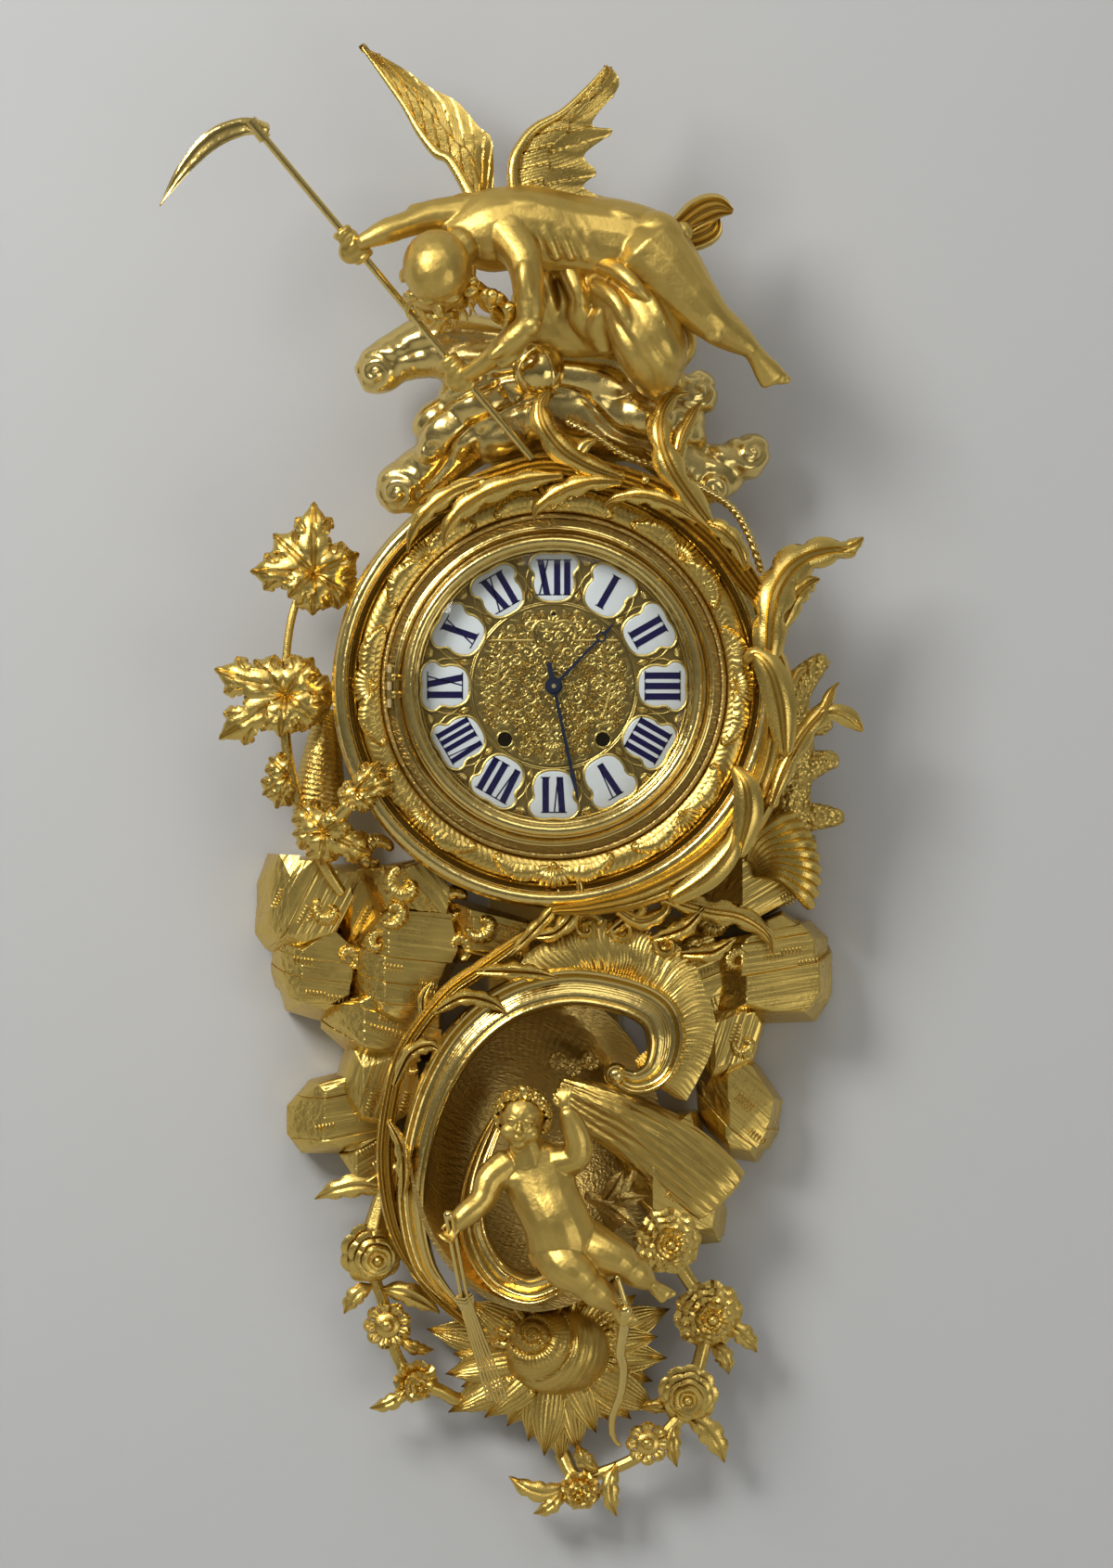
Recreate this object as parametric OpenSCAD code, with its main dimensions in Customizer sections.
// Cartel clock: a gilt bronze wall clock with a glazed dial, a spring movement
// that strikes on a bell, and cast ornaments of clouds, figures, scrolls and rocks.
// The wall plane is y = 0, the dial axis is x = 0, z = 0, and the viewer stands at -y.

/* [Case] */
// Thickness of the drum wall
drum_wall = 4; // [2:0.5:6]
// Depth of the drum between the back plate and the front plate
drum_depth = 110; // [106:1:120]
// Thickness of the back plate against the wall
back_t = 4; // [3:0.5:6]
// Thickness of the front plate
front_t = 4; // [3:0.5:6]
// Width of the reeded outer moulding
moulding_w = 22; // [18:0.5:26]
// How far the outer moulding stands outside the drum wall
moulding_overhang = 14; // [8:0.5:18]
// Height of the outer moulding over the front plate
moulding_h = 22; // [16:1:28]
// Width of the chased ring
ring_w = 23; // [18:0.5:27]
// Width of the cove between the bezel and the chased ring
cove_w = 12; // [10:0.5:15]
// Height of the chased ring over the front plate
ring_h = 14; // [10:1:16]
// Half width of the upper tongue of the back plate
upper_tongue_w = 58; // [45:1:65]
// How far the upper tongue rises over the moulding
upper_tongue_h = 86; // [75:1:95]
// Half width of the lower tongue of the back plate
lower_tongue_w = 60; // [45:1:64]
// How far the lower tongue falls below the moulding
lower_tongue_h = 455; // [430:1:465]
// Radius of the hanging hole in the upper tongue
hang_r = 6; // [4:0.5:8]
// Height of the hanging hole over the top of the moulding
hang_up = 50; // [40:1:60]
// Clear room behind the clouds for the head of the wall hook
hook_room = 24; // [16:1:30]

/* [Bezel and glass] */
// Outer radius of the bezel
bezel_r = 147; // [140:1:152]
// Width of the bezel
bezel_w = 22.5; // [20:0.5:26]
// Height of the bezel over the front plate
bezel_h = 28; // [24:1:34]
// How far the glass reaches under the lip of the bezel
glass_seat = 3.5; // [2:0.5:5]
// Thickness of the glass
glass_t = 2.4; // [1.6:0.2:3]
// Rise of the domed glass
glass_rise = 18; // [10:1:22]
// Height of the lip that holds the glass, over the front plate
lip_h = 17.4; // [16:0.2:19]
// Height of the hinge axis over the front plate
hinge_h = 15; // [14:0.5:17]
// Distance of the hinge axis outside the bezel
hinge_out = 4; // [3.5:0.5:5]
// Outer radius of a hinge knuckle
knuckle_r = 2.6; // [2.2:0.1:3]
// Radius of the hinge pin
hinge_pin_r = 1.2; // [0.8:0.1:1.4]
// Length of one hinge knuckle
knuckle_l = 8; // [6:1:10]

/* [Dial] */
// How far the dial plate reaches beyond the dial that shows
dial_margin = 13.5; // [12:0.5:16]
// Thickness of the dial plate
dial_t = 3; // [2:0.5:4]
// Thickness of the dial centre
dial_centre_t = 2; // [1:0.5:3]
// Height of an enamel plaque as a share of the radius of the dial that shows
plaque_share = 0.3534; // [0.3:0.0001:0.36]
// Width of an enamel plaque as a share of its height
plaque_aspect = 1.02; // [0.86:0.01:1.05]
// Gap between the plaques and the edge of the dial that shows
plaque_gap = 2.5; // [1.5:0.5:4]
// Gap between the plaques and the embossed dial centre
centre_gap = 4; // [3:0.5:6]
// Thickness of one enamel plaque
plaque_t = 3; // [2:0.5:4]
// Radius of the winding holes
winding_hole_r = 6.5; // [6:0.5:8]
// Radius of a dial screw
dial_screw_r = 2; // [1.5:0.5:2.5]

/* [Hands] */
// Length of the hour hand as a share of the radius of the dial that shows
hour_hand_share = 0.675; // [0.55:0.005:0.72]
// Length of the minute hand as a share of the radius of the dial that shows
minute_hand_share = 0.9; // [0.75:0.005:0.93]
// Angle of the hour hand, clockwise from twelve
hour_angle = 44; // [0:1:359]
// Angle of the minute hand, clockwise from twelve
minute_angle = 168; // [0:1:359]
// Thickness of a hand
hand_t = 1.2; // [0.8:0.1:1.6]
// Radius of the boss of a hand
hand_boss_r = 8; // [7:0.5:9]

/* [Movement] */
// Radius of the movement plates
plate_r = 112; // [110:1:116]
// Thickness of a movement plate
plate_t = 3; // [2.5:0.5:4]
// Space between the movement plates
plate_gap = 45; // [45:1:48]
// Space between the front movement plate and the dial plate
motion_gap = 16; // [16:0.5:17]
// Radius of a movement pillar
pillar_r = 4; // [3:0.5:5]
// Half of the gap between the two great wheels
barrel_gap = 5; // [4:0.5:7]
// Place of the winding arbors below the dial centre
wind_down = 49; // [47:0.5:51]
// Radius of a winding arbor
wind_arbor_r = 4; // [3.5:0.5:4.5]
// Side of the winding square
wind_square = 4.6; // [4:0.2:4.8]
// Radius of a train arbor
arbor_r = 2; // [1.5:0.1:2.5]
// Radius of a pivot in its plate
pivot_r = 1.4; // [1:0.1:1.6]
// Running gap between a pivot and its hole
run_gap = 0.05; // [0.03:0.01:0.1]
// Length of the pendulum from its pivot to the middle of the bob
pendulum_l = 170; // [150:1:180]
// Radius of the pendulum bob
bob_r = 20; // [15:1:24]
// Radius of the bell
bell_r = 48; // [42:1:50]
// Gap between the mouth of the bell and the pendulum
bell_gap = 4; // [3:0.5:6]

/* [Wheels] */
// Module of the great wheels
great_module = 1; // [0.95:0.05:1]
// Teeth of a great wheel
great_teeth = 80; // [76:1:82]
// Module of the train wheels
train_module = 0.8; // [0.75:0.05:0.8]
// Teeth of the intermediate wheel
intermediate_teeth = 72; // [68:1:74]
// Teeth of the centre wheel
centre_teeth = 64; // [60:1:68]
// Teeth of the third wheel and the pin wheel
third_teeth = 60; // [58:1:62]
// Leaves of a train pinion
pinion_leaves = 16; // [15:1:17]
// Module of the wheels behind the dial
motion_module = 0.5; // [0.45:0.05:0.55]
// Leaves of the cannon pinion
cannon_leaves = 20; // [20:1:20]
// Teeth of the minute wheel
minute_teeth = 60; // [60:1:60]
// Leaves of the minute pinion
minute_leaves = 16; // [16:1:16]
// Teeth of the hour wheel
hour_teeth = 64; // [64:1:64]
// Radius of the escape wheel
escape_r = 17; // [15:0.5:18]

/* [Ornaments] */
// Gap between a casting and the case that carries it
seat_gap = 0.3; // [0.2:0.05:0.5]
// Radius of the bald head of the winged figure
elder_head_r = 32; // [28:1:35]
// Radius of the polished globe
globe_r = 24; // [20:1:27]
// Radius of the shaft of the scythe
scythe_r = 3.8; // [3:0.1:4.5]
// Radius of the twisted chain
chain_r = 4; // [3:0.25:5]
// Half width of the crown stem
crown_w = 12; // [10:0.5:14]
// Half width of the long scroll on the right
side_scroll_w = 15; // [12:0.5:17]
// Half width of the large scroll of the lower frame
frame_scroll_w = 19; // [16:0.5:21]
// Number of flutes on the shell flange of the lower frame
flute_count = 12; // [10:1:16]
// Radius of the head of the seated child
child_head_r = 27; // [24:1:30]
// Radius of a large rose
rose_r = 29; // [25:1:31]
// Number of petals of a rose
petal_count = 7; // [5:1:9]
// Half width of a vine leaf
vine_leaf_w = 15; // [12:1:18]

/* [Hidden] */
$fn = 64;

gilt = "#c69a45";
gilt_pale = "#d8b262";
gilt_dark = "#9c7430";
brass = "#b99a55";
steel = "#6d7078";
blued = "#23283a";
enamel = "#f1efe6";
clear_glass = "#dfe8ea";

sight_r = bezel_r - bezel_w;
ring_in = bezel_r + cove_w;
moulding_in = ring_in + ring_w;
moulding_r = moulding_in + moulding_w;
drum_r = moulding_r - moulding_overhang;
dial_r = sight_r + dial_margin;
plaque_h = plaque_share * sight_r;
plaque_w = plaque_aspect * plaque_h;
plaque_ring_r = sight_r - plaque_h / 2 - plaque_gap;
dial_centre_r = plaque_ring_r - plaque_h / 2 - centre_gap;
dial_screw_ring = dial_r - 3 * dial_screw_r - 0.5;
hour_hand_l = hour_hand_share * sight_r;
minute_hand_l = minute_hand_share * sight_r;
pillar_ring = plate_r - 2 * pillar_r;

front_face = back_t + drum_depth + front_t;
front_back = front_face - front_t;
moulding_front = front_face + moulding_h;
dial_back = front_back - dial_t;
plaque_front = front_back + plaque_t;
hinge_x = -(bezel_r + hinge_out);
hinge_z = front_face + hinge_h;
glass_r = sight_r + glass_seat;
lip_z = front_face + lip_h;
glass_ball = (glass_r * glass_r + glass_rise * glass_rise) / (2 * glass_rise);
glass_lip_gap = 0.2;
glass_top = lip_z - glass_lip_gap + glass_ball - sqrt(glass_ball * glass_ball - sight_r * sight_r);

movement_front = dial_back - motion_gap;
front_plate_back = movement_front - plate_t;
train_back = front_plate_back - plate_gap;
movement_back = train_back - plate_t;

wind_x = great_module * great_teeth / 2 + barrel_gap;
going_at = [wind_x, -wind_down];
strike_at = [-wind_x, -wind_down];
great_reach = great_module * (great_teeth + pinion_leaves) / 2;
inter_reach = train_module * (intermediate_teeth + pinion_leaves) / 2;
centre_reach = train_module * (centre_teeth + pinion_leaves) / 2;
third_reach = train_module * (third_teeth + pinion_leaves) / 2;
motion_reach = motion_module * (cannon_leaves + minute_teeth) / 2;
inter_at = meet([0, 0], going_at, inter_reach, great_reach);
pin_at = [-inter_at[0], inter_at[1]];
third_angle = 120;
third_at = centre_reach * [cos(third_angle), sin(third_angle)];
escape_at = [0, third_at[1] + sqrt(third_reach * third_reach - third_at[0] * third_at[0])];
anchor_rise = escape_r + 8;
anchor_at = escape_at + [0, anchor_rise];
fly_angle = 130;
fly_at = pin_at + third_reach * [cos(fly_angle), sin(fly_angle)];
minute_wheel_angle = 45;
minute_at = motion_reach * [cos(minute_wheel_angle), sin(minute_wheel_angle)];
hammer_at = [-76, 34];
regulator_at = (escape_at + anchor_at) / 2;

wheel_t = 2;
pinion_t = 6;
barrel_back = train_back + 5;
barrel_t = 22;
great_back = barrel_back + barrel_t;
great_t = 2.5;
barrel_pinion_back = great_back - 2;
centre_wheel_back = train_back + 34;
inter_wheel_back = train_back + 39;
third_pinion_back = centre_wheel_back - 2;
third_wheel_back = train_back + 14;
escape_back = train_back + 6;
pendulum_back = movement_back - 9;
rod_r = 1.5;
bob_t = 8;
bell_foot = back_t + 5;
bell_h = pendulum_back - bell_gap - bell_foot;
cannon_back = movement_front + 1;
cannon_pipe_r = 3;
hour_pipe_r = 4.5;
hour_wheel_back = cannon_back + 4.5;
hour_hand_back = plaque_front + 2;
minute_hand_back = hour_hand_back + hand_t + 2.2;
hand_gap = 0.02;
nut_h = 3.5;
dial_foot_ring = 78;
dial_foot_r = 3.5;
pillar_angles = [0, 60, 120, 180, 270];
train_spots = [inter_at, third_at, escape_at, pin_at, fly_at];
arbor_hole = pivot_r + run_gap;

// Point where two circles meet, on the left of the line from p to q
function meet(p, q, a, b) =
    let (d = norm(q - p), u = (q - p) / d, k = (a * a - b * b + d * d) / (2 * d))
    p + u * k + sqrt(a * a - k * k) * [-u[1], u[0]];

// Direction from one arbor to another
function heading(p, q) = atan2(q[1] - p[1], q[0] - p[0]);

// Turn of a wheel so that its gaps meet the teeth of its neighbour
function mesh_turn(turn, teeth, angle, mate) =
    angle + 180 - 180 / mate + (angle - turn) * teeth / mate;

pressure = 20;
tooth_play = 0.2;
addendum = 0.75;
dedendum = 1.15;
function involute(a) = tan(a) * 180 / PI - a;
function tooth_half(r, m, n) =
    let (rp = m * n / 2, rb = rp * cos(pressure))
    90 / n - 90 * tooth_play * m / (PI * rp) + involute(pressure) - involute(acos(rb / max(r, rb)));
function tooth_points(m, n) =
    let (rp = m * n / 2, rings = [rp - dedendum * m, rp + addendum * m])
    [for (k = [0 : n - 1]) for (s = [-1, 1]) for (i = [0 : 1])
        let (r = rings[s < 0 ? i : 1 - i], a = 360 * k / n + s * tooth_half(r, m, n))
        r * [cos(a), sin(a)]];

// Turns local x, up and out into the frame of the wall
module hung() { rotate([90, 0, 0]) children(); }

module disc(r, back, h) { translate([0, 0, back]) cylinder(r = r, h = h); }

module toothed(m, n, back, h, turn, bore) {
    translate([0, 0, back]) linear_extrude(h) difference() {
        rotate(turn) polygon(tooth_points(m, n));
        circle(r = bore);
    }
}

// Wheel with spokes cut through its web
module spoked_wheel(m, n, back, h, turn, bore) {
    rim = m * n / 2 - 3 * m;
    hub = bore + 4;
    difference() {
        toothed(m, n, back, h, turn, bore);
        translate([0, 0, back - 1]) linear_extrude(h + 2) difference() {
            circle(r = rim);
            circle(r = hub);
            for (k = [0 : 3]) rotate(45 * k) square([2 * rim, 3.5], center = true);
        }
    }
}

// Arbor with a pivot at each end, from the rear plate to the front plate
module train_arbor() {
    disc(arbor_r, train_back + 0.4, plate_gap - 0.8);
    disc(pivot_r, movement_back + 0.5, plate_gap + 2 * plate_t - 1);
}

// Case

module back_plate() {
    tongue_top = moulding_r + upper_tongue_h - upper_tongue_w;
    tongue_foot = moulding_r + lower_tongue_h - lower_tongue_w;
    color(gilt_dark) hung() linear_extrude(back_t) difference() {
        union() {
            circle(r = drum_r);
            translate([-upper_tongue_w, 0]) square([2 * upper_tongue_w, tongue_top]);
            translate([0, tongue_top]) circle(r = upper_tongue_w);
            translate([-lower_tongue_w, -tongue_foot]) square([2 * lower_tongue_w, tongue_foot]);
            translate([0, -tongue_foot]) circle(r = lower_tongue_w);
        }
        translate([0, moulding_r + hang_up]) circle(r = hang_r);
    }
}

module case_drum() {
    color(gilt_dark) hung() difference() {
        disc(drum_r, back_t, drum_depth);
        disc(drum_r - drum_wall, back_t - 1, drum_depth + 2);
    }
}

module front_plate() {
    color(gilt_dark) hung() difference() {
        disc(drum_r, front_back, front_t);
        disc(sight_r + 1.5, front_back - 1, front_t + 2);
        dial_screw_spots() disc(dial_screw_r + run_gap, front_back - 1, front_t + 2);
    }
}

module outer_moulding() {
    w = moulding_w;
    color(gilt_pale) hung() translate([0, 0, front_face]) rotate_extrude($fn = 128) polygon([
        [moulding_in, 0], [moulding_r, 0], [moulding_r, 0.6 * moulding_h],
        [moulding_in + 0.9 * w, 0.85 * moulding_h], [moulding_in + 0.7 * w, moulding_h],
        [moulding_in + 0.25 * w, moulding_h], [moulding_in, 0.75 * moulding_h]]);
}

module chased_ring() {
    out = moulding_in - seat_gap;
    w = out - ring_in;
    color(gilt) hung() translate([0, 0, front_face]) rotate_extrude($fn = 128) polygon([
        [ring_in, 0], [out, 0], [out, 0.75 * ring_h], [ring_in + 0.6 * w, 0.95 * ring_h],
        [ring_in + 0.25 * w, 0.75 * ring_h], [ring_in + 0.2 * w, ring_h], [ring_in, ring_h]]);
}

// Bezel, hinge and glass

module knuckle(k, r) {
    translate([hinge_x, (k - 2.5) * knuckle_l + 0.2, hinge_z])
        rotate([-90, 0, 0]) cylinder(r = r, h = knuckle_l - 0.4);
}

module hinge_bore() {
    translate([hinge_x, -3 * knuckle_l, hinge_z])
        rotate([-90, 0, 0]) cylinder(r = hinge_pin_r + run_gap, h = 6 * knuckle_l);
}

module hinge_leaf() {
    rib_x = hinge_x - knuckle_r;
    rib_t = knuckle_r - hinge_pin_r - run_gap;
    color(brass) hung() difference() {
        union() {
            translate([rib_x, -2.5 * knuckle_l, front_face])
                cube([rib_t, 5 * knuckle_l, hinge_h - knuckle_r - 0.6]);
            for (k = [0, 2, 4]) {
                knuckle(k, knuckle_r);
                translate([rib_x, (k - 2.5) * knuckle_l + 0.2, front_face])
                    cube([rib_t, knuckle_l - 0.4, hinge_h]);
            }
        }
        hinge_bore();
    }
}

module hinge_pin() {
    color(steel) hung() translate([hinge_x, -2.5 * knuckle_l, hinge_z])
        rotate([-90, 0, 0]) cylinder(r = hinge_pin_r, h = 5 * knuckle_l);
}

module bezel() {
    w = bezel_w;
    color(gilt_pale) hung() difference() {
        union() {
            translate([0, 0, front_face]) rotate_extrude($fn = 128) polygon([
                [glass_r + 0.5, 0.5], [bezel_r, 0.5], [bezel_r, 0.55 * bezel_h],
                [sight_r + 0.9 * w, 0.7 * bezel_h], [sight_r + 0.7 * w, 0.93 * bezel_h],
                [sight_r + 0.45 * w, bezel_h], [sight_r + 0.18 * w, 0.93 * bezel_h],
                [sight_r, 0.78 * bezel_h], [sight_r, lip_h], [glass_r + 0.5, lip_h]]);
            for (k = [1, 3]) {
                knuckle(k, knuckle_r);
                translate([hinge_x, (k - 2.5) * knuckle_l + 0.2, hinge_z - knuckle_r])
                    cube([hinge_out + 3, knuckle_l - 0.4, knuckle_r]);
            }
        }
        hinge_bore();
    }
}

module bezel_glass() {
    color(clear_glass, 0.4) hung() intersection() {
        disc(glass_r, front_face, glass_top);
        translate([0, 0, glass_top - glass_ball]) difference() {
            sphere(r = glass_ball, $fn = 128);
            sphere(r = glass_ball - glass_t, $fn = 128);
        }
    }
}

module glass_retainer() {
    glass_edge = glass_top - glass_ball + sqrt(pow(glass_ball - glass_t, 2) - glass_r * glass_r);
    retainer_t = 3;
    color(brass) hung() difference() {
        disc(glass_r + 0.2, glass_edge - 0.3 - retainer_t, retainer_t);
        disc(sight_r, front_face, bezel_h);
    }
}

// Dial and hands

module dial_screw_spots() {
    for (k = [0 : 3]) rotate(45 + 90 * k) translate([dial_screw_ring, 0, 0]) children();
}

module dial_holes(h) {
    for (p = [going_at, strike_at]) translate(p) disc(winding_hole_r, dial_back - 1, h);
    translate(regulator_at) disc(pivot_r + 0.8, dial_back - 1, h);
    disc(hour_pipe_r + 1, dial_back - 1, h);
}

module dial_plate() {
    color(gilt) hung() difference() {
        disc(dial_r, dial_back, dial_t);
        dial_holes(dial_t + 2);
        dial_screw_spots() disc(dial_screw_r + run_gap, dial_back - 1, dial_t + 2);
    }
}

module dial_centre() {
    color(gilt_pale) hung() difference() {
        disc(dial_centre_r, front_back, dial_centre_t);
        dial_holes(dial_t + dial_centre_t + 2);
    }
}

// Lobed outline of one plaque, its foot towards the dial centre
module plaque_outline() {
    big = 0.3 * plaque_h;
    small = 0.25 * plaque_h;
    for (s = [-1, 1]) {
        translate([s * (plaque_w / 2 - big), plaque_h / 2 - big]) circle(r = big);
        translate([s * (0.41 * plaque_w - small), small - plaque_h / 2]) circle(r = small);
    }
    square([0.72 * plaque_w, 0.5 * plaque_h], center = true);
    square([0.4 * plaque_w, plaque_h], center = true);
}

module enamel_plaques() {
    color(enamel) hung() for (k = [0 : 11]) rotate(-30 * k)
        translate([0, plaque_ring_r, front_back]) linear_extrude(plaque_t) plaque_outline();
}

module dial_screws() {
    head_h = 2;
    color(brass) hung() dial_screw_spots() {
        disc(2 * dial_screw_r, dial_back - head_h, head_h);
        disc(dial_screw_r, dial_back - head_h, head_h + dial_t + front_t);
    }
}

module dial_feet() {
    color(brass) hung() for (k = [0 : 3]) rotate(45 + 90 * k)
        translate([dial_foot_ring, 0, 0]) disc(dial_foot_r, movement_front, motion_gap);
}

module hour_hand() {
    ring_up = 0.75 * hour_hand_l;
    ring_r = 5;
    color(blued) hung() rotate(-hour_angle) translate([0, 0, hour_hand_back]) linear_extrude(hand_t) {
        difference() {
            union() {
                circle(r = hand_boss_r);
                polygon([[-1.6, 0], [1.6, 0], [1.1, ring_up], [-1.1, ring_up]]);
                translate([0, ring_up]) circle(r = ring_r);
                polygon([[-2.4, ring_up], [2.4, ring_up], [0, hour_hand_l]]);
            }
            circle(r = hour_pipe_r + hand_gap);
            translate([0, ring_up]) circle(r = ring_r - 1.8);
        }
    }
}

module minute_hand() {
    color(blued) hung() rotate(-minute_angle) translate([0, 0, minute_hand_back]) linear_extrude(hand_t)
        difference() {
            union() {
                circle(r = hand_boss_r);
                polygon([[-1.5, 0], [1.5, 0], [1.6, 0.7 * minute_hand_l], [2.4, 0.76 * minute_hand_l],
                    [0, minute_hand_l], [-2.4, 0.76 * minute_hand_l], [-1.6, 0.7 * minute_hand_l]]);
                translate([-2.5, -22]) square([5, 22]);
            }
            circle(r = cannon_pipe_r + hand_gap);
        }
}

module hand_nut() {
    color(brass) hung() difference() {
        disc(hand_boss_r - 2, minute_hand_back + hand_t, nut_h);
        disc(arbor_r + hand_gap, minute_hand_back, nut_h + hand_t + 1);
    }
}

// Movement

module front_movement_plate() {
    color(brass) hung() difference() {
        disc(plate_r, front_plate_back, plate_t);
        for (p = concat(train_spots, [anchor_at, hammer_at, regulator_at]))
            translate(p) disc(arbor_hole, front_plate_back - 1, plate_t + 2);
        disc(arbor_r + run_gap, front_plate_back - 1, plate_t + 2);
        for (p = [going_at, strike_at])
            translate(p) disc(wind_arbor_r + run_gap, front_plate_back - 1, plate_t + 2);
        translate(minute_at) disc(pivot_r, movement_front - 1, plate_t);
    }
    color(steel) hung() translate(minute_at) disc(pivot_r, movement_front - 1, motion_gap - 3);
}

module rear_movement_plate() {
    color(brass) hung() difference() {
        disc(plate_r, movement_back, plate_t);
        for (p = train_spots) translate(p) disc(arbor_hole, movement_back - 1, plate_t + 2);
        for (p = [[0, 0], anchor_at, hammer_at])
            translate(p) disc(arbor_r + run_gap, movement_back - 1, plate_t + 2);
        for (p = [going_at, strike_at])
            translate(p) disc(wind_arbor_r + run_gap, movement_back - 1, plate_t + 2);
    }
}

module movement_pillars() {
    color(brass) hung() for (a = pillar_angles) rotate(a)
        translate([pillar_ring, 0, 0]) disc(pillar_r, train_back, plate_gap);
}

module barrel(at, from) {
    turn = mesh_turn(0, pinion_leaves, heading(from, at), great_teeth);
    bore = wind_arbor_r + run_gap;
    drum = great_module * great_teeth / 2 - 4;
    translate(at) {
        difference() {
            disc(drum, barrel_back, barrel_t);
            disc(bore, barrel_back - 1, barrel_t + 2);
        }
        toothed(great_module, great_teeth, great_back, great_t, turn, bore);
    }
}

module going_barrel() { color(brass) hung() barrel(going_at, inter_at); }
module strike_barrel() { color(brass) hung() barrel(strike_at, pin_at); }

module winding_arbor(at) {
    translate(at) {
        disc(wind_arbor_r, movement_back, dial_back - movement_back - 1);
        translate([-wind_square / 2, -wind_square / 2, dial_back - 1.5])
            cube([wind_square, wind_square, dial_t + dial_centre_t + 1]);
    }
}

module going_winding_arbor() { color(steel) hung() winding_arbor(going_at); }
module strike_winding_arbor() { color(steel) hung() winding_arbor(strike_at); }

module intermediate_wheel() {
    turn = mesh_turn(0, pinion_leaves, heading([0, 0], inter_at), intermediate_teeth);
    color(brass) hung() translate(inter_at) {
        train_arbor();
        toothed(great_module, pinion_leaves, barrel_pinion_back, pinion_t, 0, arbor_r / 2);
        spoked_wheel(train_module, intermediate_teeth, inter_wheel_back, wheel_t, turn, arbor_r / 2);
    }
}

module centre_wheel() {
    color(brass) hung() {
        disc(arbor_r, movement_back + 0.5, minute_hand_back + hand_t + nut_h - movement_back);
        spoked_wheel(train_module, centre_teeth, centre_wheel_back, wheel_t, 0, arbor_r / 2);
        toothed(train_module, pinion_leaves, inter_wheel_back - 1, wheel_t + 2, 0, arbor_r / 2);
    }
}

module cannon_pinion() {
    bore = arbor_r + hand_gap;
    color(steel) hung() {
        toothed(motion_module, cannon_leaves, cannon_back, 3.5, 0, bore);
        difference() {
            disc(cannon_pipe_r, cannon_back, minute_hand_back + hand_t - cannon_back);
            disc(bore, cannon_back - 1, motion_gap + 20);
        }
    }
}

module minute_wheel() {
    turn = mesh_turn(0, cannon_leaves, minute_wheel_angle, minute_teeth);
    bore = pivot_r + run_gap;
    color(brass) hung() translate(minute_at) {
        toothed(motion_module, minute_teeth, cannon_back + 0.5, 2, turn, bore);
        toothed(motion_module, minute_leaves, cannon_back + 2.5, 6, 0, bore);
    }
}

module hour_wheel() {
    turn = mesh_turn(0, minute_leaves, minute_wheel_angle + 180, hour_teeth);
    bore = cannon_pipe_r + run_gap;
    color(brass) hung() {
        toothed(motion_module, hour_teeth, hour_wheel_back, 2, turn, bore);
        difference() {
            disc(hour_pipe_r, hour_wheel_back, hour_hand_back + hand_t - hour_wheel_back);
            disc(bore, hour_wheel_back - 1, motion_gap + 20);
        }
    }
}

module third_wheel() {
    turn = mesh_turn(0, centre_teeth, third_angle, pinion_leaves);
    color(brass) hung() translate(third_at) {
        train_arbor();
        toothed(train_module, pinion_leaves, third_pinion_back, pinion_t, turn, arbor_r / 2);
        spoked_wheel(train_module, third_teeth, third_wheel_back, wheel_t, 0, arbor_r / 2);
    }
}

module escape_wheel() {
    turn = mesh_turn(0, third_teeth, heading(third_at, escape_at), pinion_leaves);
    teeth = 30;
    notch = escape_r - 3;
    color(brass) hung() translate(escape_at) {
        train_arbor();
        toothed(train_module, pinion_leaves, third_wheel_back - 2, pinion_t, turn, arbor_r / 2);
        translate([0, 0, escape_back]) linear_extrude(wheel_t) polygon([
            for (k = [0 : 2 * teeth - 1])
                (k % 2 == 0 ? escape_r : notch) * [cos(180 * k / teeth), sin(180 * k / teeth)]]);
    }
}

module pallet_anchor() {
    spread = 56;
    arm = escape_r + 3;
    color(steel) hung() translate(anchor_at) {
        disc(arbor_r, pendulum_back - 1, front_plate_back - 0.4 - pendulum_back + 1);
        disc(pivot_r, front_plate_back - 1, plate_t + 0.5);
        translate([0, 0, escape_back - 0.5]) linear_extrude(wheel_t + 1) {
            circle(r = arbor_r + 2);
            for (s = [-1, 1]) rotate(s * spread) translate([-1.5, -arm]) square([3, arm]);
        }
    }
}

module pendulum() {
    hub_r = 5;
    hub_h = 6;
    color(brass) hung() translate(anchor_at) {
        difference() {
            disc(hub_r, pendulum_back, hub_h);
            disc(arbor_r + hand_gap, pendulum_back - 1, hub_h + 2);
        }
        translate([0, -hub_r + 0.5, pendulum_back + hub_h / 2]) rotate([90, 0, 0])
            cylinder(r = rod_r, h = pendulum_l - hub_r - bob_r + 1);
        translate([0, -pendulum_l, pendulum_back + hub_h / 2 - bob_t / 2]) cylinder(r = bob_r, h = bob_t);
    }
}

module pin_wheel() {
    pins = 10;
    color(brass) hung() translate(pin_at) {
        train_arbor();
        toothed(great_module, pinion_leaves, barrel_pinion_back, pinion_t, 0, arbor_r / 2);
        spoked_wheel(train_module, third_teeth, inter_wheel_back, wheel_t, 0, arbor_r / 2);
        for (k = [0 : pins - 1]) rotate(360 * k / pins)
            translate([train_module * third_teeth / 2 - 1.8, 0, 0]) disc(0.7, inter_wheel_back - 3, 3.5);
    }
}

module fly() {
    turn = mesh_turn(0, third_teeth, fly_angle, pinion_leaves);
    vane_r = 12;
    color(brass) hung() translate(fly_at) {
        train_arbor();
        toothed(train_module, pinion_leaves, inter_wheel_back - 2, pinion_t - 1, turn, arbor_r / 2);
        translate([-vane_r, -0.5, train_back + 10]) cube([2 * vane_r, 1, 24]);
    }
}

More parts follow.
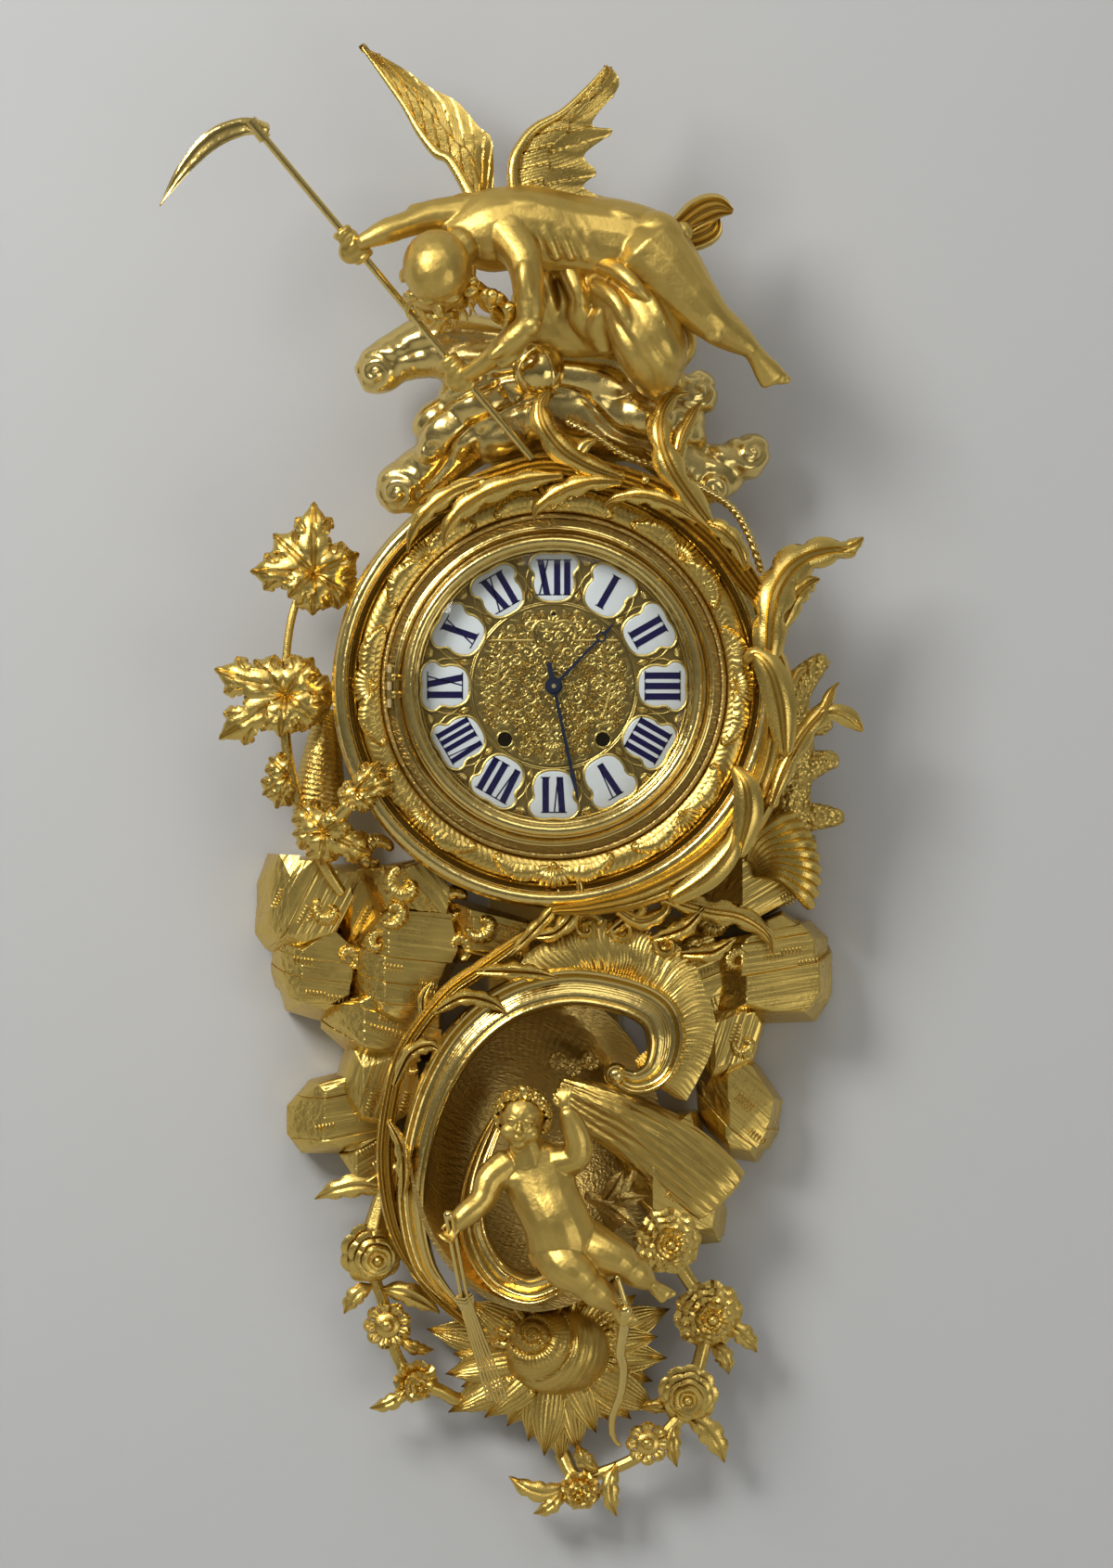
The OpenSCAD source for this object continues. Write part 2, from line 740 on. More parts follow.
module hammer() {
    head_at = [18, -46];
    head_r = 5;
    arm_back = back_t + 16;
    arm_t = 3;
    color(steel) hung() translate(hammer_at) {
        disc(arbor_r, arm_back, front_plate_back - 0.4 - arm_back);
        disc(pivot_r, front_plate_back - 1, plate_t + 0.5);
        rotate(heading([0, 0], head_at)) translate([0, -1.5, arm_back]) cube([norm(head_at), 3, arm_t]);
        translate(head_at) disc(head_r, arm_back - 3, arm_t + 6);
        rotate(heading(hammer_at, pin_at)) translate([0, -1.2, inter_wheel_back - 3]) cube([12, 2.4, 2.4]);
    }
}

module bell() {
    wall = 2;
    foot = bell_foot;
    mouth = foot + bell_h;
    bore = 3 + run_gap;
    color(brass) hung() rotate_extrude($fn = 96) polygon([
        [bore, foot], [0.4 * bell_r, foot], [0.8 * bell_r, foot + 0.25 * bell_h],
        [0.96 * bell_r, foot + 0.6 * bell_h], [bell_r, mouth], [bell_r - wall, mouth],
        [0.96 * bell_r - wall, foot + 0.62 * bell_h], [0.78 * bell_r - wall / 2, foot + 0.25 * bell_h + wall],
        [0.4 * bell_r, foot + wall], [bore, foot + wall]]);
}

module bell_post() {
    color(steel) hung() {
        disc(7, back_t, bell_foot - back_t);
        disc(3, back_t, 12);
        translate([0, 0, bell_foot + 2]) cylinder(r = 6, h = 4, $fn = 6);
    }
}

module regulator_arbor() {
    color(steel) hung() translate(regulator_at) {
        disc(pivot_r, front_plate_back + 0.5, front_back + dial_centre_t - front_plate_back - 0.5);
        disc(pivot_r + 1.5, movement_front + 0.2, 2);
    }
}

// Castings: paths of [x, up, out, half width, half thickness], swept as one skin

function unit(v) = v / max(norm(v), 0.0001);
function blend4(a, b, c, d, t) =
    0.5 * (2 * b + (c - a) * t + (2 * a - 5 * b + 4 * c - d) * t * t + (3 * b - a - 3 * c + d) * t * t * t);
function smooth_path(p, n) = let (last = len(p) - 1) concat(
    [for (i = [0 : last - 1]) for (k = [0 : n - 1])
        blend4(p[max(i - 1, 0)], p[i], p[i + 1], p[min(i + 2, last)], k / n)], [p[last]]);
function place(q) = [q[0], q[1], q[2]];

module sweep(path, n = 2, sides = 8) {
    p = smooth_path(path, n);
    last = len(p) - 1;
    c = [for (q = p) place(q)];
    along = [for (i = [0 : last]) unit(c[min(i + 1, last)] - c[max(i - 1, 0)])];
    side = [for (t = along) unit(cross([0, 0, 1], t))];
    lift = [for (i = [0 : last]) cross(along[i], side[i])];
    w = [for (q = p) max(q[3], 0.5)];
    t = [for (q = p) max(q[4], 0.5)];
    skin = [for (i = [0 : last]) for (k = [0 : sides - 1])
        c[i] + w[i] * cos(360 * k / sides) * side[i] + t[i] * sin(360 * k / sides) * lift[i]];
    ends = [c[0] - 0.6 * min(w[0], t[0]) * along[0], c[last] + 0.6 * min(w[last], t[last]) * along[last]];
    a = len(skin);
    polyhedron(concat(skin, ends), concat(
        [for (i = [0 : last - 1]) for (k = [0 : sides - 1])
            let (m = (k + 1) % sides) [i * sides + k, (i + 1) * sides + k, (i + 1) * sides + m]],
        [for (i = [0 : last - 1]) for (k = [0 : sides - 1])
            let (m = (k + 1) % sides) [i * sides + k, (i + 1) * sides + m, i * sides + m]],
        [for (k = [0 : sides - 1]) [a, k, (k + 1) % sides]],
        [for (k = [0 : sides - 1]) [a + 1, last * sides + (k + 1) % sides, last * sides + k]]));
}

// Leaf from a foot by a belly to a tip, each [x, up, out]
module leaf(foot, belly, tip, w, t = 4) {
    sweep([[foot[0], foot[1], foot[2], 0.35 * w, t], [belly[0], belly[1], belly[2], w, t],
        [tip[0], tip[1], tip[2], 0.1 * w, 0.4 * t]], 2, 4);
}

module ball(at, r, sides = 12) { translate(at) sphere(r = r, $fn = sides); }
module oval(at, size, sides = 12) { translate(at) scale(size) sphere(r = 1, $fn = sides); }

// Flower with lobed petals round a domed heart, facing out
module bloom(at, r, petals = petal_count) {
    steps = 3 * petals;
    translate(at) {
        translate([0, 0, -0.45 * r]) linear_extrude(0.6 * r, scale = 0.82)
            polygon([for (k = [0 : steps - 1])
                let (a = 360 * k / steps) r * (0.9 + 0.1 * cos(petals * a)) * [cos(a), sin(a)]]);
        oval([0, 0, 0.05 * r], [0.72 * r, 0.72 * r, 0.6 * r], 8);
    }
}

// Faceted rock over an outline, its smaller front moved by a lean
module rock(outline, depth, lean, shrink = 0.84) {
    middle = [for (p = outline) 1] * outline / len(outline);
    hull() {
        translate([0, 0, back_t + seat_gap]) linear_extrude(0.55 * depth) polygon(outline);
        translate([0, 0, depth - 1]) linear_extrude(1)
            polygon([for (p = outline) middle + lean + shrink * (p - middle)]);
    }
}

module at_top() { translate([0, moulding_r, 0]) children(); }
module at_foot() { translate([0, -moulding_r, 0]) children(); }
module at_right() { translate([moulding_r, 0, 0]) children(); }
module at_left() { translate([-moulding_r, 0, 0]) children(); }

// Path point beside the rim of the moulding, by angle, distance outside it and height over its front
function rim_point(a, d, up, w, t) =
    [(moulding_r + d) * cos(a), (moulding_r + d) * sin(a), moulding_front + up, w, t];

// Space of the case and the wall, kept free of the castings
module case_room() {
    disc(drum_r + seat_gap, -1, front_face);
    disc(moulding_r + seat_gap, front_face - seat_gap, moulding_h + 2 * seat_gap);
    translate([-600, -1000, -400]) cube([1200, 2000, 400 + back_t + seat_gap]);
}

// One casting as a single skin, cut where it seats on the case
module casting() {
    resize([0, 0, 0]) difference() {
        union() { children(); }
        case_room();
    }
}

// Clouds and the winged figure over the case

elder_out = 165;
shaft_top = [-272, 305, elder_out + 35];
shaft_foot = [-20, 4, elder_out - 13];

module elder_form() {
    at_top() {
        sweep([[-92, 196, elder_out + 25, 22, 20], [-62, 210, elder_out + 8, 42, 36],
            [-14, 220, elder_out, 41, 36], [30, 216, elder_out - 5, 34, 32],
            [70, 208, elder_out - 8, 38, 36], [100, 190, elder_out - 5, 34, 34]], 2, 10);
        oval([-104, 172, elder_out + 45], [elder_head_r, elder_head_r * 1.05, elder_head_r], 14);
        sweep([[-86, 196, elder_out + 25, 18, 18], [-98, 182, elder_out + 36, 18, 18]], 2, 8);
        sweep([[-82, 160, elder_out + 56, 15, 12], [-64, 138, elder_out + 48, 16, 12],
            [-54, 118, elder_out + 38, 8, 6]], 2, 6);
        sweep([[-80, 224, elder_out + 5, 21, 21], [-118, 224, elder_out + 15, 17, 17],
            [-154, 211, elder_out + 28, 13, 13], [-174, 200, elder_out + 29, 9, 9]], 2, 8);
        ball([-181, 196, elder_out + 24], 12, 10);
        sweep([[-42, 205, elder_out + 26, 21, 21], [-26, 178, elder_out + 38, 19, 19],
            [-26, 130, elder_out + 44, 15, 15], [-42, 108, elder_out + 34, 14, 14],
            [-66, 89, elder_out + 18, 10, 10]], 2, 8);
        ball([-83, 78, elder_out + 4], 13, 10);
        sweep([[90, 192, elder_out + 2, 36, 36], [124, 162, elder_out + 8, 28, 28],
            [151, 127, elder_out + 10, 20, 20], [172, 112, elder_out + 2, 19, 18],
            [192, 98, elder_out - 6, 11, 11], [203, 84, elder_out - 4, 10, 9],
            [212, 70, elder_out - 4, 8, 5]], 2, 8);
        sweep([[80, 184, elder_out - 20, 34, 34], [88, 140, elder_out - 28, 28, 28],
            [84, 98, elder_out - 40, 26, 26]], 2, 8);
    }
}

module scythe_bearer() {
    color(gilt) hung() casting() difference() {
        elder_form();
        scythe_shaft(seat_gap);
    }
}

module wing_form() {
    at_top() {
        sweep([[-66, 236, elder_out - 22, 15, 9], [-76, 275, elder_out - 32, 23, 8],
            [-98, 315, elder_out - 42, 24, 7], [-130, 348, elder_out - 52, 14, 5],
            [-177, 386, elder_out - 60, 2, 2]], 2, 8);
        for (k = [0 : 3]) leaf([-84 - 8 * k, 262 + 17 * k, elder_out - 34 - 3 * k],
            [-84 - 14 * k, 294 + 17 * k, elder_out - 38 - 4 * k],
            [-70 - 19 * k, 312 + 17 * k, elder_out - 40 - 5 * k], 13, 4);
        sweep([[-6, 216, elder_out + 2, 28, 9], [0, 255, elder_out + 2, 35, 8],
            [12, 290, elder_out - 4, 32, 7], [34, 326, elder_out - 12, 17, 5],
            [50, 362, elder_out - 18, 2, 2]], 2, 8);
        for (k = [0 : 3]) leaf([6 + 3 * k, 236 + 20 * k, elder_out + 4 - 3 * k],
            [28 + 4 * k, 244 + 24 * k, elder_out + 4 - 4 * k],
            [41 + 4 * k, 252 + 27 * k, elder_out - 5 * k], 13, 4);
    }
}

module wings() {
    color(gilt) hung() casting() difference() {
        wing_form();
        elder_form();
    }
}

module scythe_shaft(gap) {
    way = shaft_foot - shaft_top;
    at_top() translate(shaft_top) rotate([0, acos(way[2] / norm(way)), atan2(way[1], way[0])])
        cylinder(r = scythe_r + gap, h = norm(way), $fn = 16);
}

module scythe_blade() {
    o = shaft_top[2];
    at_top() sweep([[-262, 303, o, 8, 6], [-284, 305, o, 9, 3], [-312, 293, o, 9, 2.5],
        [-338, 266, o, 6, 2], [-360, 232, o, 1, 1]], 3, 8);
}

module scythe() {
    color(gilt_pale) hung() casting() {
        scythe_shaft(0);
        scythe_blade();
    }
}

module drapery_form() {
    at_top() {
        sweep([[98, 206, elder_out - 28, 15, 12], [122, 222, elder_out - 40, 19, 10],
            [142, 232, elder_out - 46, 15, 8], [160, 234, elder_out - 50, 8, 5]], 2, 8);
        sweep([[110, 204, elder_out - 34, 12, 10], [136, 206, elder_out - 44, 14, 8],
            [152, 216, elder_out - 50, 6, 4]], 2, 8);
        sweep([[40, 172, elder_out - 6, 22, 20], [62, 138, elder_out - 4, 30, 24],
            [92, 104, elder_out - 8, 34, 26], [104, 74, elder_out - 22, 24, 18]], 2, 8);
        sweep([[-20, 180, elder_out - 20, 20, 18], [6, 146, elder_out - 24, 24, 20],
            [30, 108, elder_out - 34, 24, 20]], 2, 8);
    }
}

module drapery() {
    color(gilt) hung() casting() difference() {
        drapery_form();
        elder_form();
        wing_form();
    }
}

module cloud_bank() {
    color(gilt) hung() casting() difference() {
        at_top() difference() {
            union() {
                sweep([[-40, 96, 96, 40, 38], [-104, 116, 92, 32, 30], [-150, 102, 88, 22, 22],
                    [-182, 80, 86, 9, 9]], 2, 10);
                sweep([[-20, 60, 84, 46, 44], [-66, 48, 82, 42, 40], [-124, -14, 74, 27, 26],
                    [-162, -36, 70, 7, 8]], 2, 10);
                sweep([[-58, 50, 80, 44, 44], [0, 52, 86, 48, 48], [62, 54, 86, 48, 46],
                    [118, 48, 80, 36, 38]], 2, 10);
                sweep([[90, 30, 80, 36, 36], [136, -16, 76, 28, 28], [170, 4, 70, 22, 22],
                    [197, 24, 66, 10, 12]], 2, 10);
                oval([-115, 14, 110], [15, 14, 13], 10);
                oval([145, -24, 104], [16, 16, 12], 10);
                oval([134, 70, 84], [26, 26, 24], 10);
                oval([70, 88, 96], [38, 26, 32], 10);
                ball([-14, 86, 140], globe_r, 16);
            }
            translate([0, hang_up, 0]) disc(hang_r + 8, 0, hook_room + back_t);
        }
        elder_form();
        drapery_form();
        scythe_shaft(seat_gap);
        crown_form();
        chain_form();
    }
}

module crown_form() {
    h = moulding_front;
    sweep([rim_point(132, -6, 4, 0.7 * crown_w, 7), rim_point(117, -10, 6, crown_w, 9),
        rim_point(103, -7, 7, crown_w, 10), rim_point(89, -4, 7, 1.05 * crown_w, 10),
        rim_point(64, -4, 7, 1.1 * crown_w, 10), rim_point(44, -4, 7, crown_w, 10),
        rim_point(30, -2, 6, crown_w, 9), rim_point(20, 4, 4, 0.6 * crown_w, 7)], 2, 8);
    at_top() {
        sweep([[40, -8, h + 13, 9, 8], [12, 8, h + 16, 12, 9], [-8, 32, h + 16, 11, 8],
            [-14, 54, h + 12, 8, 6], [-4, 66, h + 8, 3, 3]], 2, 8);
        sweep([[140, -52, h + 11, 9, 8], [116, -18, h + 16, 13, 9], [100, 10, h + 14, 13, 9],
            [98, 40, h + 6, 12, 8], [108, 58, h - 2, 7, 6], [124, 64, h - 6, 3, 3]], 2, 8);
        sweep([[-26, -12, h + 16, 7, 5], [-62, -28, h + 17, 13, 5], [-96, -46, h + 15, 10, 5],
            [-106, -72, h + 11, 3, 3]], 2, 8);
    }
}

module crown_scroll() {
    color(gilt) hung() casting() difference() {
        crown_form();
        scythe_shaft(seat_gap);
    }
}

module chain_form() {
    o = moulding_front;
    r = chain_r;
    at_top() sweep([[13, 38, o + 8, r, r], [37, 26, o + 5, r, r], [64, 8, o - 4, r, r],
        [96, -4, o - 16, r, r], [132, -20, o - 26, r, r], [164, -40, o - 32, r, r],
        [180, -66, o - 32, r, r], [191, -98, o - 30, r, r]], 2, 8);
}

module twisted_chain() {
    color(gilt) hung() casting() difference() {
        chain_form();
        crown_form();
    }
}

// Scroll, leaves and coral on the right

module side_scroll_form() {
    w = side_scroll_w;
    h = moulding_front;
    sweep([rim_point(12, -4, 4, 0.7 * w, 7), rim_point(4, 2, 3, 0.95 * w, 10), rim_point(-8, 6, 1, w, 11),
        rim_point(-22, 11, 0, 1.05 * w, 11), rim_point(-36, 13, 0, 1.1 * w, 11),
        rim_point(-50, 11, 0, 0.95 * w, 11), rim_point(-66, 6, 0, 0.75 * w, 10),
        rim_point(-84, 1, 1, 0.35 * w, 7)], 2, 8);
    at_right() {
        sweep([[-8, 10, h + 8, 8, 7], [-6, 50, h + 10, 14, 8], [-2, 84, h + 4, 17, 8],
            [14, 112, h - 6, 18, 8], [42, 126, h - 16, 14, 6], [76, 126, h - 26, 3, 3]], 2, 8);
        sweep([[-4, -98, h + 8, 8, 8], [10, -70, h + 4, 11, 8], [26, -42, h - 6, 13, 7],
            [44, -22, h - 14, 11, 6], [58, 2, h - 20, 3, 3]], 2, 8);
        leaf([40, -24, h - 12], [60, -24, h - 16], [79, -40, h - 22], 10, 4);
    }
}

module right_scroll() {
    color(gilt) hung() casting() difference() {
        side_scroll_form();
        crown_form();
    }
}

module coral_form() {
    at_right() {
        sweep([[4, -148, 60, 18, 18], [12, -118, 62, 20, 18], [18, -60, 64, 20, 18],
            [17, -12, 62, 17, 16], [30, 10, 60, 14, 13], [44, 24, 58, 8, 8]], 2, 8);
        sweep([[14, -86, 62, 15, 14], [36, -72, 62, 14, 12], [56, -68, 60, 7, 7]], 2, 8);
        sweep([[10, -124, 62, 15, 14], [38, -120, 60, 14, 12], [64, -121, 58, 7, 7]], 2, 8);
        sweep([[12, -60, 50, 12, 12], [-22, -52, 44, 12, 12]], 2, 8);
    }
}

module coral_branch() {
    color(gilt_dark) hung() casting() difference() {
        coral_form();
        side_scroll_form();
    }
}

// Vine, leaves and ribbed horn on the left

module vine_leaves(at, tips) {
    for (p = tips) leaf([at[0], at[1], at[2]],
        [0.5 * (at[0] + p[0]), 0.5 * (at[1] + p[1]), at[2] + 6], [p[0], p[1], at[2] - 6], vine_leaf_w, 4);
}

module vine_form() {
    o = moulding_front - 48;
    at_left() {
        sweep([[8, -190, o - 6, 5, 5], [-8, -164, o, 6, 6], [-26, -122, o, 5, 5], [-38, -81, o, 5, 5],
            [-44, -40, o, 5, 5], [-43, 24, o, 4, 4], [-36, 70, o, 4, 4], [-20, 106, o, 4, 4]], 2, 6);
        vine_leaves([-19, 104, o], [[-17, 169], [-75, 106], [26, 122], [22, 78], [-52, 138]]);
        vine_leaves([-43, -12, o], [[-109, 17], [-105, -50], [8, -9], [-70, 14]]);
        vine_leaves([-36, -84, o], [[-66, -96]]);
        vine_leaves([-6, -134, o + 34], [[36, -150], [-30, -108]]);
        sweep([[-16, -142, o, 6, 6], [-6, -134, o + 30, 8, 7], [18, -108, o + 56, 9, 7],
            [40, -92, o + 58, 11, 5], [58, -88, o + 53, 3, 3]], 2, 6);
        bloom([20, -96, o + 60], 17, 6);
    }
}

module left_vine() { color(gilt) hung() casting() vine_form(); }

module horn_form() {
    ribs = 7;
    at_left() for (k = [0 : ribs - 1]) {
        u = -32 - 14 * k;
        w = 12 + 2.6 * k;
        oval([-8 - 0.4 * k, u, 66], [w, 10, 18 + 2.4 * k], 10);
    }
}

module shell_horn() {
    color(gilt) hung() casting() difference() {
        horn_form();
        vine_form();
    }
}

// Lower frame with its figure

module frame_form() {
    w = frame_scroll_w;
    o = 118;
    at_foot() {
        sweep([[56, -152, o, 9, 9], [76, -160, o, 0.65 * w, 11], [97, -148, o, 0.85 * w, 13],
            [104, -120, o, w, 14], [94, -94, o, 1.05 * w, 14], [60, -78, o, w, 14],
            [11, -72, o, w, 14], [-40, -86, o, w, 14], [-82, -120, o - 3, 0.95 * w, 14],
            [-112, -171, o - 6, 0.85 * w, 13], [-128, -230, o - 12, 0.8 * w, 13],
            [-131, -281, o - 22, 0.75 * w, 12], [-119, -332, o - 36, 0.6 * w, 10],
            [-90, -368, o - 52, 0.25 * w, 6]], 2, 10);
        sweep([[-6, -12, o + 4, 5, 5], [-48, -43, o + 8, 8, 7], [-99, -80, o + 6, 8, 7],
            [-136, -130, o, 8, 7], [-152, -188, o - 8, 8, 7], [-155, -247, o - 16, 8, 7],
            [-142, -307, o - 28, 7, 6], [-108, -358, o - 46, 6, 6], [-70, -392, o - 62, 4, 5]], 2, 8);
        sweep([[-56, -196, 62, 5, 8], [-70, -236, 72, 7, 9], [-78, -281, 80, 8, 10],
            [-73, -318, 88, 8, 10], [-54, -346, 98, 9, 11], [-24, -356, 110, 11, 13],
            [8, -342, 122, 12, 14]], 2, 8);
        flange_form(o);
    }
}

// Fluted shell flange outside the scroll, each flute a leaf that leans outwards
module flange_form(o) {
    from = 146;
    to = -42;
    middle = [50, -112];
    for (k = [0 : flute_count - 1]) {
        a = from + (to - from) * k / (flute_count - 1);
        v = [cos(a), sin(a)];
        in = middle + 40 * v;
        mid = middle + 72 * v;
        tip = middle + (96 + 5 * sin(a - 20)) * v;
        leaf([in[0], in[1], o - 12], [mid[0], mid[1], o - 2], [tip[0], tip[1], o - 12], 19, 8);
    }
}

module scroll_frame() { color(gilt_pale) hung() casting() frame_form(); }

module back_form() {
    at_foot() difference() {
        translate([-16, -222, 0]) scale([118, 150, 1]) cylinder(r = 1, h = 110, $fn = 28);
        oval([-12, -222, 116], [100, 134, 98], 24);
    }
}

module cartouche_back() {
    color(gilt_dark) hung() casting() difference() {
        back_form();
        frame_form();
        sheet_form();
    }
}

child_out = 144;
torch_top = [-94, -290, 172];

module child_form() {
    o = child_out;
    at_foot() {
        sweep([[-16, -232, o + 2, 24, 17], [-10, -254, o + 2, 30, 22], [2, -286, o + 6, 28, 25],
            [8, -314, o, 31, 27], [10, -334, o - 6, 22, 22]], 2, 10);
        oval([-29, -194, o + 14], [child_head_r, child_head_r, child_head_r], 14);
        sweep([[-24, -218, o + 8, 13, 13], [-18, -236, o + 3, 16, 14]], 2, 8);
        sweep([[-38, -236, o + 3, 12, 12], [-56, -248, o + 8, 11, 11], [-70, -269, o + 13, 10, 10],
            [-84, -284, o + 19, 8, 8], [-95, -294, o + 20, 9, 9]], 2, 8);
        sweep([[8, -236, o + 4, 13, 13], [24, -222, o + 10, 12, 12], [21, -202, o + 20, 10, 10],
            [13, -184, o + 24, 8, 8]], 2, 8);
        sweep([[2, -314, o + 4, 19, 19], [16, -334, o + 16, 17, 17], [36, -348, o + 12, 13, 13],
            [52, -360, o + 4, 9, 9], [66, -366, o + 4, 9, 7]], 2, 8);
        sweep([[26, -308, o - 4, 19, 19], [48, -320, o + 6, 16, 16], [64, -330, o + 4, 13, 13],
            [82, -342, o - 4, 9, 9], [98, -346, o - 2, 9, 7]], 2, 8);
    }
}

module putto() {
    color(gilt) hung() casting() difference() {
        child_form();
        frame_form();
        torch_form();
    }
}

module torch_form() {
    t = torch_top;
    at_foot() sweep([[t[0] - 3, t[1] + 12, t[2] + 3, 5, 5], [t[0], t[1], t[2], 5, 5],
        [-84, -346, 142, 5, 5], [-82, -358, 134, 10, 9], [-80, -364, 131, 9, 8],
        [-68, -410, 106, 10, 8], [-52, -458, 84, 9, 6]], 2, 8);
}

module bow_form() {
    at_foot() sweep([[62, -352, 160, 4, 4], [68, -374, 150, 6, 6], [60, -398, 130, 5, 5],
        [64, -432, 104, 5, 5], [55, -466, 74, 4, 4], [60, -496, 52, 3, 3]], 4, 8);
}

module torch_and_bow() {
    color(gilt_pale) hung() casting() torch_form();
    color(gilt_pale) hung() casting() difference() {
        bow_form();
        child_form();
        sun_form();
    }
}

// Sunburst with its snail shell

ray_hub = [3, -413];
rays = [[170, 121], [190, 103], [209, 113], [236, 80], [272, 100], [305, 74], [330, 106],
    [357, 100], [21, 110], [52, 84], [90, 76], [128, 84]];
function ray_mid(k) =
    let (a = rays[k][0], b = rays[(k + 1) % len(rays)][0]) a + ((b - a + 360) % 360) / 2;

module sun_form() {
    notch = 64;
    rise = 30;
    at_foot() translate([ray_hub[0], ray_hub[1], back_t + seat_gap]) {
        linear_extrude(rise, scale = 0.5) polygon([
            for (k = [0 : len(rays) - 1]) each [
                rays[k][1] * [cos(rays[k][0]), sin(rays[k][0])],
                notch * [cos(ray_mid(k)), sin(ray_mid(k))]]]);
        oval([0, 0, 20], [52, 43, 46], 16);
        snail_whorl();
    }
}

// Spiral ridge of the snail shell, in short overlapping pieces
module snail_whorl() {
    eye = [-22, 20];
    pieces = 8;
    arc = 90;
    for (k = [0 : pieces - 1]) sweep([for (j = [0 : 4])
        let (q = k + 1.15 * j / 4, g = 3 + 3.3 * q, a = 200 - arc * q)
        [eye[0] * (1 - q / 12) + g * cos(a), eye[1] * (1 - q / 12) + g * sin(a), 70 - 3.2 * q,
            2.5 + 1.15 * q, 3 + 0.9 * q]], 1, 8);
}

module sunburst() {
    color(gilt) hung() casting() difference() {
        sun_form();
        frame_form();
        back_form();
        child_form();
        torch_form();
    }
}

// Rocks

module left_rock_form() {
    at_foot() {
        rock([[-266, 48], [-226, 46], [-190, 26], [-186, 4], [-204, -32], [-240, -44], [-264, -40],
            [-276, -22], [-276, 20]], 90, [8, 6]);
        rock([[-260, -34], [-204, -20], [-180, -44], [-186, -90], [-216, -106], [-250, -96], [-260, -60]],
            82, [4, 6]);
        rock([[-190, -36], [-162, -4], [-96, -8], [-88, -46], [-110, -96], [-136, -128], [-188, -88]],
            108, [6, 10]);
        rock([[-216, -92], [-150, -70], [-104, -92], [-108, -142], [-182, -142], [-216, -112]], 96, [10, 6]);
        rock([[-182, 34], [-122, 46], [-98, 18], [-102, -12], [-166, -10]], 110, [6, 4]);
        rock([[-194, -130], [-130, -130], [-122, -190], [-150, -208], [-186, -200], [-206, -172]],
            84, [6, 4]);
        rock([[-246, -184], [-226, -160], [-186, -150], [-150, -184], [-146, -212], [-198, -228],
            [-232, -228], [-246, -210]], 70, [6, 2]);
        rock([[-202, -222], [-150, -206], [-142, -252], [-170, -264]], 60, [4, 4]);
        rock([[-212, 40], [-150, 40], [-140, -30], [-196, -44]], 62, [0, 0]);
        rock([[-110, 14], [-62, -4], [-16, -14], [-20, -48], [-92, -52]], 84, [0, 0]);
    }
}

module left_rocks() {
    color(gilt) hung() casting() difference() {
        left_rock_form();
        vine_form();
        horn_form();
        frame_form();
        back_form();
    }
}

// Slanting sheet of rock beside the recess
module sheet_form() {
    at_foot() rock([[50, -194], [132, -188], [124, -226], [158, -280], [154, -310], [136, -312],
        [86, -280], [54, -236]], 92, [-4, 8]);
}

module right_rock_form() {
    at_foot() {
        rock([[132, 14], [170, 44], [204, 68], [242, 66], [246, 22], [222, 6], [180, -18], [140, -16]],
            78, [-4, -4]);
        rock([[130, -34], [186, -22], [238, -12], [255, -28], [255, -86], [242, -106], [206, -106],
            [136, -110]], 90, [-6, 4]);
        rock([[180, -18], [214, -4], [232, -18], [222, -44], [186, -40]], 84, [0, 0]);
        rock([[130, -98], [188, -94], [196, -108], [186, -144], [140, -168], [122, -140]], 86, [2, 4]);
        rock([[132, -150], [168, -136], [190, -146], [213, -180], [208, -206], [190, -238], [166, -234],
            [136, -198]], 70, [-4, 4]);
    }
    sheet_form();
}

module right_rocks() {
    color(gilt) hung() casting() difference() {
        right_rock_form();
        side_scroll_form();
        coral_form();
        frame_form();
        child_form();
        difference() {
            back_form();
            sheet_form();
        }
    }
}

// Garlands

module left_garland() {
    o = 48;
    color(gilt) hung() casting() difference() {
        at_foot() {
            sweep([[-148, -244, o, 10, 10], [-158, -270, o, 9, 9], [-166, -300, o, 12, 10]], 2, 8);
            leaf([-158, -262, o], [-190, -278, o], [-220, -272, o - 6], 10, 5);
            bloom([-167, -321, o], rose_r);
            sweep([[-166, -344, o - 6, 6, 6], [-158, -366, o - 6, 6, 6], [-154, -384, o - 4, 7, 6]], 2, 6);
            leaf([-168, -350, o - 6], [-180, -362, o - 4], [-194, -374, o - 8], 9, 4);
            leaf([-162, -354, o - 6], [-130, -360, o - 6], [-106, -374, o - 12], 10, 4);
            bloom([-154, -387, o], 22, 9);
            leaf([-142, -400, o - 6], [-128, -406, o - 6], [-114, -408, o - 10], 7, 4);
            sweep([[-150, -404, o - 6, 6, 6], [-142, -422, o - 6, 6, 6], [-130, -438, o - 4, 9, 8],
                [-106, -448, o - 10, 7, 7], [-92, -456, o - 20, 7, 7], [-84, -456, o - 26, 6, 6]], 2, 6);
            bloom([-127, -440, o], 19, 6);
            leaf([-136, -446, o - 6], [-152, -452, o - 4], [-168, -462, o - 8], 7, 4);
        }
        left_rock_form();
        frame_form();
        back_form();
        sun_form();
    }
}

